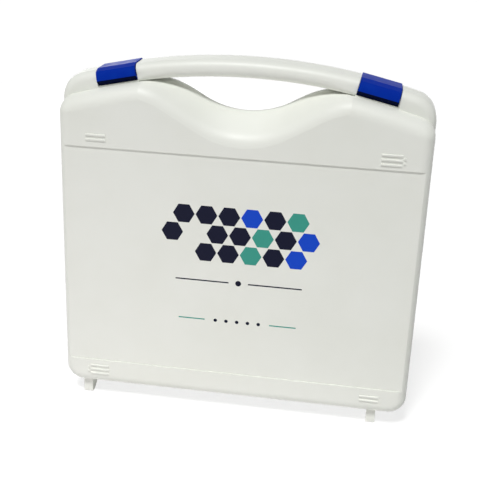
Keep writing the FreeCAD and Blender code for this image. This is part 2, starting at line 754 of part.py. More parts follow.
def make_shells():
    """The lid and the base: one moulding, cut in two ways and stood face to face."""
    moulding = shell_moulding()
    turning = size("hinge_pin_radius") + size("running_gap")
    seated = size("hinge_pin_radius") + size("seated_gap")
    lid_tools = [lug_bore("LidOuterBore", -OUTER_LUG, turning), lug_bore("LidInnerBore", INNER_LUG, turning)]
    base_tools = [lug_bore("BaseOuterBore", -OUTER_LUG, seated), lug_bore("BaseInnerBore", INNER_LUG, seated)]
    for name, side in (("Left", -1), ("Right", 1)):
        lid_tools.append(lid_seat("LidSeat" + name, side))
        base_tools.append(base_seat("BaseSeat" + name, side))
        base_tools.append(pin_bore("LatchBore" + name, side))
    lid = finished("lid_shell", moulding, lid_tools, SHELL_PLACE)
    base = finished("base_shell", moulding, base_tools, TURNED_PLACE)
    return [lid, base]


# Latches and pins


def make_latch(label, side):
    """A latch in its own frame: barrel at the rear, hook and finger nose at the front."""
    proud = size("latch_proud")
    skin_low = proud - size("latch_skin")
    corner = size("rim_round")
    front = size("rim_depth")
    inner = corner - SEAT_SINK + size("latch_gap")
    inner_front = SEAT_FRONT + size("latch_gap")
    nose = front + size("latch_nose")
    crease = proud - size("latch_slope")
    points = [(PIVOT_BACK, proud), (-front + corner, proud), (-front, crease),
              (-nose, -LATCH_LOW + size("latch_undercut")), (-inner_front - size("latch_lip"), -LATCH_LOW),
              (-inner_front, -LATCH_LOW), (-inner_front, -corner), (-front + corner, skin_low),
              (PIVOT_BACK, skin_low)]
    length = size("latch_length")
    body = new_body(label)
    outline = draw(body_sketch(body, label + "_outline", "YZ_Plane"), points,
                   {2: size("latch_bulge"), 6: -inner})
    pad(body, label + "_skin", outline, length, midplane=True)
    dressed(body, "Fillet", label + "_creases", "Radius", size("latch_crease"), lambda edge, place: (
        abs(place.x) < 1e-4 and place.y < (-front + corner).value + 1e-4 and place.z > crease.value - 1e-4))
    middle_skin = (proud + skin_low).value / 2 - size("latch_crease").value / 2
    dressed(body, "Fillet", label + "_ends", "Radius", size("latch_end_round"), lambda edge, place: (
        abs(place.x) > length.value / 2 - 1e-4 and place.z > (size("latch_undercut") - LATCH_LOW).value
        and (place.z > middle_skin or place.y < -front.value - 1)))
    barrel = circle(body_sketch(body, label + "_barrel", "YZ_Plane"), PIVOT_BACK, -size("pivot_depth"),
                    BARREL_RADIUS)
    pad(body, label + "_barrel_pad", barrel, length - 2 * size("latch_end_round"), midplane=True)
    bore = circle(body_sketch(body, label + "_bore", "YZ_Plane"), PIVOT_BACK, -size("pivot_depth"),
                  size("latch_pin_radius") + size("running_gap"))
    pocket(body, label + "_bore_pocket", bore, length + 2 * OVERLAP, midplane=True)
    body.Placement = latch_frame(side)
    return body


def make_pin(label, radius, length, placement):
    """A straight steel pin with broken ends, along its own X."""
    body = new_body(label)
    outline = circle(body_sketch(body, label + "_outline", "YZ_Plane"), plain(0.0), plain(0.0), radius)
    pad(body, label + "_rod", outline, length, midplane=True)
    dressed(body, "Chamfer", label + "_ends", "Size", size("pin_chamfer"),
            lambda edge, place: edge.isClosed())
    body.Placement = placement
    return body


def make_pins():
    """Hinge pins through both shells' lugs, and latch pins held by the base's rim."""
    pins = []
    hinge_length = 2 * size("lug_width") + size("lug_gap")
    hinge_middle = INNER_LUG + size("lug_gap") / 2 + size("lug_width") / 2
    latch_length = 2 * (SEAT_REACH + size("latch_pin_hold"))
    for name, side in (("left", -1), ("right", 1)):
        place = FreeCAD.Placement(Vector(side * hinge_middle.value, 0, HINGE_LEVEL.value), FreeCAD.Rotation())
        pins.append(make_pin("%s_hinge_pin" % name, size("hinge_pin_radius"), hinge_length, place))
        pivot = Vector(0, PIVOT_BACK.value, -size("pivot_depth").value)
        pins.append(make_pin("%s_latch_pin" % name, size("latch_pin_radius"), latch_length,
                             latch_frame(side).multiply(FreeCAD.Placement(pivot, FreeCAD.Rotation()))))
    return pins


# Foam inserts


def make_foam(label, placement, near, thickness, drawn_in):
    """One foam sheet between two depths from the parting plane, with a dip under the hand opening."""
    side = HALF_WIDTH - size("wall") - size("foam_gap") - drawn_in
    low = UNDERSIDE + size("wall") + size("foam_gap") + drawn_in
    top = FOAM_TOP
    dip = size("foam_dip")
    half = size("foam_dip_half")
    points = [(-side, low), (side, low), (side, top), (half, top), (-half, top), (-side, top)]
    body = new_body(label)
    outline = draw(body_sketch(body, label + "_outline", "XZ_Plane", near), points,
                   {3: -(half * half + dip * dip) / (2 * dip)})
    pad(body, label + "_sheet", outline, thickness)
    dressed(body, "Fillet", label + "_corners", "Radius", size("foam_corner"), lambda edge, place: (
        runs_deep(edge, place) and abs(place.x) > side.value - 1 and place.z < low.value + 1))
    body.Placement = placement
    return body


def round_far_edge(body, far):
    """Rounds the sheet where it lies in the shell's moulded edge, at the sides and below."""
    beside = HALF_WIDTH.value - size("wall").value - size("foam_corner").value
    low = UNDERSIDE.value + size("foam_corner").value
    dressed(body, "Fillet", body.Label + "_edge", "Radius", size("side_round") - size("wall"),
            lambda edge, place: abs(place.y + far.value) < 1e-4 and (abs(place.x) > beside or place.z < low))


def rectangle(left, low, width, height):
    """Corners of a rectangle, counterclockwise."""
    return [(left, low), (left + width, low), (left + width, low + height), (left, low + height)]


def notched(left, low, width, height):
    """A rectangle with a finger notch in its lower and upper side, and the arcs of the notches."""
    middle = left + width / 2
    half = size("notch_half")
    corners = rectangle(left, low, width, height)
    points = [corners[0], (middle - half, low), (middle + half, low), corners[1],
              corners[2], (middle + half, low + height), (middle - half, low + height), corners[3]]
    return points, {1: size("notch_radius"), 5: size("notch_radius")}


def cut_pocket(body, name, points, near, bends=None):
    """A pocket through the foam sheet, drawn just in front of it, with rounded corners."""
    sketch = draw(body_sketch(body, name, "XZ_Plane", near - OVERLAP), points, bends)
    pocket(body, name + "_pocket", sketch, size("pocket_foam") + 2 * OVERLAP, reverse=True)
    places = {(round(across.value, 3), round(up.value, 3)) for across, up in points}
    dressed(body, "Fillet", name + "_corners", "Radius", size("pocket_round"), lambda edge, place: (
        runs_deep(edge, place) and (round(place.x, 3), round(place.z, 3)) in places))


def make_foams():
    """Egg-crate sheet in the lid, pocket sheet and floor pad in the base."""
    inside = size("shell_depth") - size("wall") - size("foam_gap")
    none = plain(0.0)
    lid = make_foam("lid_foam", SHELL_PLACE, inside - size("lid_foam"), size("lid_foam"), none)
    round_far_edge(lid, inside)
    floor = make_foam("floor_foam", TURNED_PLACE, inside - size("floor_foam"), size("floor_foam"),
                      size("side_round") - size("wall"))
    near = inside - size("floor_foam") - size("pocket_foam")
    pockets = make_foam("pocket_foam", TURNED_PLACE, near, size("pocket_foam"), none)
    left = -size("unit_left")
    low = size("unit_bottom")
    unit_height = FOAM_TOP - size("foam_dip") - size("pocket_bar") - low
    beside = left + size("unit_width") + size("pocket_bar")
    lead_low = low - size("pocket_bar") - size("lead_height")
    small = left + size("lead_width") + size("pocket_bar")
    right = beside + size("side_pocket_width")
    outline, notches = notched(left, low, size("unit_width"), unit_height)
    cut_pocket(pockets, "instrument", outline, near, notches)
    cut_pocket(pockets, "side", rectangle(beside, low, size("side_pocket_width"), unit_height), near)
    cut_pocket(pockets, "lead", rectangle(left, lead_low, size("lead_width"), size("lead_height")), near)
    cut_pocket(pockets, "adapter", rectangle(small, lead_low, right - small, size("lead_height")), near)
    return [lid, floor, pockets]


def check(features):
    """Stops if anything failed or a piece isn't a sound solid."""
    for feature in DOCUMENT.Objects:
        if {"Invalid", "Error"} & set(feature.State):
            raise RuntimeError("%s failed: %s" % (feature.Name, feature.State))
    for feature in features:
        shape = feature.Shape
        if shape.isNull() or not shape.isValid() or not shape.Solids:
            raise RuntimeError("%s is not a sound solid" % feature.Label)


def main():
    """Builds every piece and writes one file for each."""
    pieces = make_shells()
    for name, side in (("left_latch", -1), ("right_latch", 1)):
        pieces.append(make_latch(name, side))
    pieces += make_pins() + make_foams()
    DOCUMENT.recompute()
    check(pieces)
    os.makedirs("parts", exist_ok=True)
    for piece in pieces:
        piece.Shape.exportStep("parts/%s.step" % piece.Label)
        print("%-16s %9.0f mm3" % (piece.Label, piece.Shape.Volume))


main()
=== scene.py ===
"""Looks of a hard plastic carrying case for a hand-held bench instrument.

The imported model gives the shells, latches and pins. This script dresses them, cuts the foam inserts, prints
a plain motif on the lid's panel and sets the floor, the lamps and the camera.
"""

import logging
import math
from dataclasses import dataclass, field
from enum import Enum
from typing import Callable, Sequence

import bmesh
import bpy
from mathutils import Matrix, Vector, noise

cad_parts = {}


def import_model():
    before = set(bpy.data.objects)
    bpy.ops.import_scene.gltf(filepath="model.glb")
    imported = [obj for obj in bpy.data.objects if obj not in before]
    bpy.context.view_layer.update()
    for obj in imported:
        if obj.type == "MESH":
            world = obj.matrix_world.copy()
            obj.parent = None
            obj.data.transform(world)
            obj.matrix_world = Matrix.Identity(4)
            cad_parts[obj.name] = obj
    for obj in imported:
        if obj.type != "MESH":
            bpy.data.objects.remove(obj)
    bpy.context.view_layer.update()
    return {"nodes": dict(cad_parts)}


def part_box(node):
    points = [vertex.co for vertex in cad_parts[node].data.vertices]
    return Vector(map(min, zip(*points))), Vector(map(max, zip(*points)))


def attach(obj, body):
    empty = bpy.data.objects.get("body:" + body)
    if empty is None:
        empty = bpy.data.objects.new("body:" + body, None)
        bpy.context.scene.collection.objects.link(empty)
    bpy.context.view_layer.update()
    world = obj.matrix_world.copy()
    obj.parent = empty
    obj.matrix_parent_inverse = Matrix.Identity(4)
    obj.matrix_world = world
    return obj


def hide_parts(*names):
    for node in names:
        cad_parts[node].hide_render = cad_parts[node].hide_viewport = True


Tree = bpy.types.NodeTree
Node = bpy.types.Node
Socket = bpy.types.NodeSocket

LOG = logging.getLogger("case")
MM = 0.001
# Points nearer to each other than this, in metres, become one.
WELD = 1e-6
# Most values of a noise texture lie between these two.
NOISE_LOW, NOISE_HIGH = 0.3, 0.7
PHOTO_PX = 480


def srgb(code: str) -> tuple[float, float, float, float]:
    """Turns an sRGB hex colour into linear RGBA.

    Args:
        code: six hex digits after a hash sign.

    Returns:
        Linear red, green, blue and an alpha of one.
    """
    parts = [int(code[i:i + 2], 16) / 255 for i in (1, 3, 5)]
    linear = [v / 12.92 if v <= 0.04045 else ((v + 0.055) / 1.055) ** 2.4 for v in parts]
    return (linear[0], linear[1], linear[2], 1.0)


def add_node(tree: Tree, kind: str, settings: dict | None = None) -> Node:
    """Adds one node with its settings and its links.

    Args:
        tree: the node tree that gets the node.
        kind: the node's type name.
        settings: attribute names, or input names or numbers, to their values. Another node's output as a
            value is linked to the input.

    Returns:
        The new node.
    """
    node = tree.nodes.new(kind)
    for name, value in (settings or {}).items():
        if isinstance(value, Socket):
            tree.links.new(value, node.inputs[name])
        elif isinstance(name, str) and hasattr(node, name):
            setattr(node, name, value)
        else:
            node.inputs[name].default_value = value
    return node


def scale_of(size_mm: float) -> float:
    """Gives the scale at which a pattern's features have a real size in millimetres."""
    return 1 / (size_mm * MM)


@dataclass(frozen=True)
class Finish:
    """A surface finish: a Principled shader whose colour, roughness and bump follow the object's place."""

    name: str
    colour: str
    roughness: float
    ior: float = 1.5
    metallic: float = 0.0
    specular: float = 0.5

    def build(self) -> bpy.types.Material:
        """Makes the material with this finish's pattern.

        Returns:
            The material, ready for a piece's slot.
        """
        material = bpy.data.materials.new(self.name)
        material.use_nodes = True
        tree = material.node_tree
        tree.nodes.clear()
        shader = add_node(tree, "ShaderNodeBsdfPrincipled", {
            "Base Color": srgb(self.colour), "Roughness": self.roughness, "IOR": self.ior,
            "Metallic": self.metallic, "Specular IOR Level": self.specular})
        place = add_node(tree, "ShaderNodeTexCoord").outputs["Object"]
        for name, source in self.pattern(tree, place).items():
            tree.links.new(source, shader.inputs[name])
        add_node(tree, "ShaderNodeOutputMaterial", {0: shader.outputs[0]})
        return material

    def pattern(self, tree: Tree, place: Socket) -> dict[str, Socket]:
        """Adds what sets this finish apart from a plain colour.

        Args:
            tree: the material's tree.
            place: Object coordinates, in metres.

        Returns:
            The shader's inputs that the pattern feeds, by name, and what feeds them.
        """
        return {}

    def blend_colours(self, tree: Tree, value: Socket, span: tuple[float, float], first: Socket | str,
                      second: str) -> Socket:
        """Lets the colour run from one to another while a value crosses a span.

        Args:
            tree: the material's tree.
            value: what the colour follows.
            span: the value at which the first colour ends and the one at which the second is reached.
            first: sRGB hex colour, or another blend.
            second: sRGB hex colour.

        Returns:
            The blended colour.
        """
        start, end = span
        share = add_node(tree, "ShaderNodeMapRange", {"From Min": start, "From Max": end, "Value": value})
        # For colours, a Mix node takes in its sockets 6 and 7 and gives out its socket 2.
        mixed = add_node(tree, "ShaderNodeMix", {
            "data_type": "RGBA", 0: share.outputs["Result"], 7: srgb(second),
            6: srgb(first) if isinstance(first, str) else first})
        return mixed.outputs[2]

    def vary_roughness(self, tree: Tree, value: Socket, spread: float) -> Socket:
        """Lets the roughness run a little to each side of its middle value.

        Args:
            tree: the material's tree.
            value: the noise that it follows.
            spread: how far it goes to each side.

        Returns:
            The uneven roughness.
        """
        return add_node(tree, "ShaderNodeMapRange", {
            "From Min": NOISE_LOW, "From Max": NOISE_HIGH, "To Min": self.roughness - spread,
            "To Max": self.roughness + spread, "Value": value}).outputs["Result"]


@dataclass(frozen=True)
class GrainedFinish(Finish):
    """A moulded plastic, or a film on one, whose skin has the fine grain of the mould."""

    # The real grain is some 0.2 mm wide. It is drawn as coarse as it needs to show.
    grain_mm: float = 0.9
    grain_detail: float = 3.0
    grain_depth_mm: float = 0.02
    grain_strength: float = 0.4

    def skin(self, tree: Tree, place: Socket) -> Socket:
        """Raises the grain as bump.

        Args:
            tree: the material's tree.
            place: Object coordinates, in metres.

        Returns:
            The grained surface's normal.
        """
        grain = add_node(tree, "ShaderNodeTexNoise", {
            "Scale": scale_of(self.grain_mm), "Detail": self.grain_detail, "Vector": place})
        return add_node(tree, "ShaderNodeBump", {
            "Distance": self.grain_depth_mm * MM, "Strength": self.grain_strength,
            "Height": grain.outputs["Fac"]}).outputs["Normal"]


@dataclass(frozen=True)
class MouldedPolypropylene(GrainedFinish):
    """Injection-moulded polypropylene with a fine spark-eroded skin: pale, soft sheen, faint flow marks."""

    cloud: str = "#ebede5"
    cloud_span: tuple[float, float] = (0.35, 0.65)
    flow_mm: float = 60.0
    flow_detail: float = 3.0
    sheen_mm: float = 12.0
    sheen_spread: float = 0.03
    grain_strength: float = 0.6

    def pattern(self, tree: Tree, place: Socket) -> dict[str, Socket]:
        """Cloudy flow marks in colour and sheen, and the skin's fine grain.

        Args:
            tree: the material's tree.
            place: Object coordinates, in metres.

        Returns:
            What feeds the colour, the roughness and the normal.
        """
        flow = add_node(tree, "ShaderNodeTexNoise", {
            "Scale": scale_of(self.flow_mm), "Detail": self.flow_detail, "Vector": place}).outputs["Fac"]
        sheen = add_node(tree, "ShaderNodeTexNoise", {
            "Scale": scale_of(self.sheen_mm), "Vector": place}).outputs["Fac"]
        return {"Base Color": self.blend_colours(tree, flow, self.cloud_span, self.cloud, self.colour),
                "Roughness": self.vary_roughness(tree, sheen, self.sheen_spread),
                "Normal": self.skin(tree, place)}


@dataclass(frozen=True)
class LatchPlastic(GrainedFinish):
    """Dyed, injection-moulded plastic from a satin tool: deep colour, little gloss, a few rubbed marks.

    Faces that look down, such as the underside of the finger nose, get painted shade that makes them nearly
    black.
    """

    rubbed: str = "#0a35a4"
    rub_span: tuple[float, float] = (0.45, 0.9)
    rub_mm: float = 7.0
    rub_detail: float = 4.0
    rub_spread: float = 0.05
    # Painted shade: the nearly black colour given to faces that look down.
    painted_undercut_shade: str = "#020a30"
    painted_shade_span: tuple[float, float] = (-0.1, -0.5)
    grain_mm: float = 1.2
    grain_detail: float = 2.0
    grain_depth_mm: float = 0.01

    def pattern(self, tree: Tree, place: Socket) -> dict[str, Socket]:
        """Rubbed patches that are a little paler and duller than the rest, painted shade on faces that look
        down, and the grain.

        Args:
            tree: the material's tree.
            place: Object coordinates, in metres.

        Returns:
            What feeds the colour, the roughness and the normal.
        """
        rub = add_node(tree, "ShaderNodeTexNoise", {
            "Scale": scale_of(self.rub_mm), "Detail": self.rub_detail, "Vector": place}).outputs["Fac"]
        facing = add_node(tree, "ShaderNodeTexCoord").outputs["Normal"]
        painted_shade_mask = add_node(tree, "ShaderNodeSeparateXYZ", {0: facing}).outputs["Z"]
        used = self.blend_colours(tree, rub, self.rub_span, self.colour, self.rubbed)
        # Faces that look down take the painted shade in place of the plastic's colour.
        return {"Base Color": self.blend_colours(tree, painted_shade_mask, self.painted_shade_span, used, self.painted_undercut_shade),
                "Roughness": self.vary_roughness(tree, rub, self.rub_spread),
                "Normal": self.skin(tree, place)}


@dataclass(frozen=True)
class DrawnSteel(Finish):
    """Drawn steel wire: bright, with fine lines along its length."""

    # Real draw lines are some 0.02 mm wide. They are drawn as coarse as they need to show.
    line_mm: float = 0.25
    run_mm: float = 50 / 3
    line_detail: float = 1.0
    line_spread: float = 0.08

    def pattern(self, tree: Tree, place: Socket) -> dict[str, Socket]:
        """Draw lines along the pin, which lies nearly along X.

        Args:
            tree: the material's tree.
            place: Object coordinates, in metres.

        Returns:
            What feeds the roughness.
        """
        line = scale_of(self.line_mm)
        stretched = add_node(tree, "ShaderNodeMapping", {
            "Scale": (scale_of(self.run_mm), line, line), "Vector": place})
        lines = add_node(tree, "ShaderNodeTexNoise", {
            "Scale": 1.0, "Detail": self.line_detail, "Vector": stretched.outputs["Vector"]})
        return {"Roughness": self.vary_roughness(tree, lines.outputs["Fac"], self.line_spread)}


@dataclass(frozen=True)
class PackingFoam(Finish):
    """Open-cell polyurethane packing foam: dull and dark, with a skin of small burst cells."""

    # Painted shade at the bottoms of the cell pits, patchy with the mottling.
    deep: str = "#1f2023"
    pit_shade_span: tuple[float, float] = (0.02, 0.34)
    mottling_mm: float = 9.0
    mottling_detail: float = 4.0
    # Twice as wide as the real cells, so that they show.
    cell_mm: float = 1.6
    cell_depth_mm: float = 0.5
    cell_strength: float = 0.8

    def pattern(self, tree: Tree, place: Socket) -> dict[str, Socket]:
        """Cells as pits under soft mottling, with painted shade that darkens the bottoms of the pits.

        Args:
            tree: the material's tree.
            place: Object coordinates, in metres.

        Returns:
            What feeds the colour and the normal.
        """
        cells = add_node(tree, "ShaderNodeTexVoronoi", {
            "Scale": scale_of(self.cell_mm), "Vector": place}).outputs["Distance"]
        mottling = add_node(tree, "ShaderNodeTexNoise", {
            "Scale": scale_of(self.mottling_mm), "Detail": self.mottling_detail, "Vector": place})
        pits = add_node(tree, "ShaderNodeMath", {
            "operation": "MULTIPLY", 0: cells, 1: mottling.outputs["Fac"]}).outputs[0]
        bump = add_node(tree, "ShaderNodeBump", {
            "Distance": self.cell_depth_mm * MM, "Strength": self.cell_strength, "Height": cells})
        # The pits' bottoms take the deep colour as painted shade.
        return {"Base Color": self.blend_colours(tree, pits, self.pit_shade_span, self.deep, self.colour),
                "Normal": bump.outputs["Normal"]}


@dataclass(frozen=True)
class PrintInk(GrainedFinish):
    """Pad-printed ink on plastic: an even, thin, slightly satin film."""

    def pattern(self, tree: Tree, place: Socket) -> dict[str, Socket]:
        """Lets the plastic's grain show through the film."""
        return {"Normal": self.skin(tree, place)}


class Ink(Enum):
    """The printing inks of the panel's motif: flat, satin colours that stand out from the pale plastic."""

    # Carries the most cells, the rule and the small dots.
    NAVY = PrintInk("ink_navy", "#0a0e28", 0.42, specular=0.12)
    # The soft accent of a few cells and of the thin dashes.
    TEAL = PrintInk("ink_teal", "#3f9c8c", 0.42, specular=0.12)
    # The bright accent, which ties the panel to the latches.
    BLUE = PrintInk("ink_blue", "#1249cc", 0.42, specular=0.12)


# Polypropylene, dyed a warm light grey: a broad, milky sheen on each rounding and faint clouds on the flats.
SHELL_PLASTIC = MouldedPolypropylene("moulded_polypropylene", "#eef0e9", 0.46, ior=1.49)
# The same family of plastic in ultramarine: the one deep colour of the case, with painted shade that makes
# its downward faces, such as the lip below, nearly black.
LATCH_PLASTIC = LatchPlastic("moulded_latch_plastic", "#082e9f", 0.36, ior=1.46, specular=0.02)
# Plain drawn steel wire: small bright glints in the hinge gaps and at the latches' ends.
PIN_STEEL = DrawnSteel("drawn_steel", "#b9babb", 0.34, metallic=1.0)
# Charcoal polyurethane foam: swallows the light, so the open case shows depth and soft, torn edges.
DARK_FOAM = PackingFoam("packing_foam", "#4a4c51", 0.95, ior=1.3)


def dress(piece: bpy.types.Object, material: bpy.types.Material) -> None:
    """Gives a piece one material.

    Args:
        piece: the mesh object.
        material: the only material that it keeps.
    """
    piece.data.materials.clear()
    piece.data.materials.append(material)


def mesh_object(name: str, build: Callable[[bmesh.types.BMesh], None]) -> bpy.types.Object:
    """Makes an object at the origin from a function that fills a bmesh.

    Args:
        name: the new object's name.
        build: fills the empty bmesh that it gets.

    Returns:
        The object, linked to the scene, with outward faces.
    """
    shape = bmesh.new()
    build(shape)
    bmesh.ops.remove_doubles(shape, verts=shape.verts, dist=WELD)
    bmesh.ops.recalc_face_normals(shape, faces=shape.faces)
    mesh = bpy.data.meshes.new(name)
    shape.to_mesh(mesh)
    shape.free()
    piece = bpy.data.objects.new(name, mesh)
    bpy.context.scene.collection.objects.link(piece)
    return piece


@dataclass
class Hardware:
    """The shells, latches and pins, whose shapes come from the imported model."""

    nodes: dict[str, bpy.types.Object]
    finishes: dict[str, Finish] = field(default_factory=lambda: {
        "shell": SHELL_PLASTIC, "latch_pin": PIN_STEEL, "hinge_pin": PIN_STEEL, "latch": LATCH_PLASTIC})

    def build(self) -> None:
        """Dresses each node by the ending of its name."""
        made: dict[str, bpy.types.Material] = {}
        for name, node in self.nodes.items():
            for ending, finish in self.finishes.items():
                if name.endswith(ending):
                    if finish.name not in made:
                        made[finish.name] = finish.build()
                    dress(node, made[finish.name])
                    LOG.info("%s dressed in %s", name, finish.name)
                    break


def modified(piece: bpy.types.Object) -> bpy.types.Object:
    """Applies a piece's modifiers by taking the evaluated mesh and dropping the modifiers.

    Args:
        piece: the object with modifiers.

    Returns:
        The same object with a plain mesh.
    """
    bpy.context.view_layer.update()
    graph = bpy.context.evaluated_depsgraph_get()
    mesh = bpy.data.meshes.new_from_object(piece.evaluated_get(graph))
    piece.modifiers.clear()
    old = piece.data
    piece.data = mesh
    bpy.data.meshes.remove(old)
    return piece


@dataclass
class NodeTool:
    """A geometry node tree under construction, with named inputs for its sizes."""

    name: str
    inputs: dict[str, float]
    material: bpy.types.Material

    def __post_init__(self) -> None:
        """Makes the tree with its group input and output."""
        self.tree = bpy.data.node_groups.new(self.name, "GeometryNodeTree")
        face = self.tree.interface
        face.new_socket("Geometry", in_out="INPUT", socket_type="NodeSocketGeometry")
        face.new_socket("Geometry", in_out="OUTPUT", socket_type="NodeSocketGeometry")
        for label in self.inputs:
            face.new_socket(label, in_out="INPUT", socket_type="NodeSocketFloat")
        self.given = add_node(self.tree, "NodeGroupInput").outputs

    def finish(self, geometry: Socket) -> None:
        """Closes the tree with Realize Instances and Set Material.

        Args:
            geometry: the socket that carries the finished shape.
        """
        real = add_node(self.tree, "GeometryNodeRealizeInstances", {0: geometry})
        dressed = add_node(self.tree, "GeometryNodeSetMaterial", {
            "Material": self.material, 0: real.outputs[0]})
        add_node(self.tree, "NodeGroupOutput", {0: dressed.outputs[0]})

    def apply(self, piece: bpy.types.Object) -> bpy.types.Object:
        """Runs the tree on a piece and leaves a plain mesh.

        Args:
            piece: the object whose mesh goes in.

        Returns:
            The same object with the result as its mesh.
        """
        modifier = piece.modifiers.new(self.name, "NODES")
        modifier.node_group = self.tree
        for item in self.tree.interface.items_tree:
            if item.in_out == "INPUT" and item.name in self.inputs:
                modifier[item.identifier] = self.inputs[item.name]
        return modified(piece)


@dataclass
class FoamInsert:
    """One foam insert: the solid's shape with soft, burst-cell edges, in place of the solid."""

    nodes: dict[str, bpy.types.Object]
    node: str
    body: str
    voxel_mm: float = 2.0
    rounds: int = 2
    tremor_mm: float = 0.25
    tremor_grain_mm: float = 5.0
    material: bpy.types.Material | None = None

    def build(self) -> bpy.types.Object:
        """Makes the insert and puts it in place of its solid.

        Returns:
            The insert.
        """
        piece = self.soft_copy()
        self.shape(piece)
        self.roughen(piece)
        dress(piece, self.material)
        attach(piece, self.body)
        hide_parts(self.node)
        LOG.info("%s cut, %d faces", piece.name, len(piece.data.polygons))
        return piece

    def soft_copy(self) -> bpy.types.Object:
        """Cuts the raw insert: the solid's mesh, merged, remeshed evenly and smoothed, so its edges are soft.

        Returns:
            The raw insert as an object of its own.
        """
        def fill(shape: bmesh.types.BMesh) -> None:
            """Takes the solid's mesh."""
            shape.from_mesh(self.nodes[self.node].data)

        piece = mesh_object(self.node + "_cut", fill)
        remesh = piece.modifiers.new("even", "REMESH")
        remesh.mode = "VOXEL"
        remesh.voxel_size = self.voxel_mm * MM
        remesh.use_smooth_shade = True
        smooth = piece.modifiers.new("soft", "SMOOTH")
        smooth.iterations = self.rounds
        return modified(piece)

    def shape(self, piece: bpy.types.Object) -> None:
        """Gives the insert a relief of its own, if it has one.

        Args:
            piece: the raw insert.
        """

    def roughen(self, piece: bpy.types.Object) -> None:
        """Moves each point a little, inwards only, as torn cells leave the cut.

        Args:
            piece: the insert.
        """
        grain = scale_of(self.tremor_grain_mm)
        mesh = piece.data
        inward = [-normal.vector for normal in mesh.vertex_normals]
        moved: list[float] = []
        for vertex, way in zip(mesh.vertices, inward):
            depth = 0.5 + 0.5 * noise.noise(vertex.co * grain)
            moved.extend(vertex.co + way * depth * self.tremor_mm * MM)
        mesh.vertices.foreach_set("co", moved)
        mesh.update()


@dataclass
class CrestedInsert(FoamInsert):
    """The lid's sheet, whose open side is cut to crests and hollows that press on the contents."""

    pitch_mm: float = 24.0
    relief_mm: float = 13.0

    def shape(self, piece: bpy.types.Object) -> None:
        """Sinks the open side between the crests; the far side stays where it is.

        Args:
            piece: the raw insert.
        """
        low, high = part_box(self.node)
        tool = NodeTool("crests", {"Pitch": self.pitch_mm * MM, "Relief": self.relief_mm * MM, "Far": low.y,
                                   "Near": high.y}, self.material)
        tree, given = tool.tree, tool.given
        place = add_node(tree, "GeometryNodeInputPosition").outputs[0]
        turn = add_node(tree, "ShaderNodeMath", {"operation": "DIVIDE", 0: 2 * math.pi, 1: given["Pitch"]})
        phase = add_node(tree, "ShaderNodeVectorMath", {
            "operation": "SCALE", 0: place, "Scale": turn.outputs[0]})
        waves = add_node(tree, "ShaderNodeVectorMath", {"operation": "COSINE", 0: phase.outputs[0]})
        wave = add_node(tree, "ShaderNodeSeparateXYZ", {0: waves.outputs[0]}).outputs
        crest = add_node(tree, "ShaderNodeMath", {"operation": "MULTIPLY", 0: wave["X"], 1: wave["Z"]})
        # A crest, at one, stays; a hollow, at minus one, sinks by the whole relief on the open side.
        share = add_node(tree, "ShaderNodeMapRange", {
            "From Min": -1.0, "From Max": 1.0, "To Min": -1.0, "To Max": 0.0, "Value": crest.outputs[0]})
        depth = add_node(tree, "ShaderNodeSeparateXYZ", {0: place}).outputs["Y"]
        relief = add_node(tree, "ShaderNodeMapRange", {
            "clamp": False, "From Min": given["Far"], "From Max": given["Near"], "To Min": 0.0,
            "To Max": given["Relief"], "Value": depth})
        sink = add_node(tree, "ShaderNodeMath", {
            "operation": "MULTIPLY", 0: share.outputs["Result"], 1: relief.outputs["Result"]})
        offset = add_node(tree, "ShaderNodeCombineXYZ", {"Y": sink.outputs[0]})
        moved = add_node(tree, "GeometryNodeSetPosition", {
            "Geometry": given["Geometry"], "Offset": offset.outputs[0]})
        tool.finish(moved.outputs[0])
        tool.apply(piece)


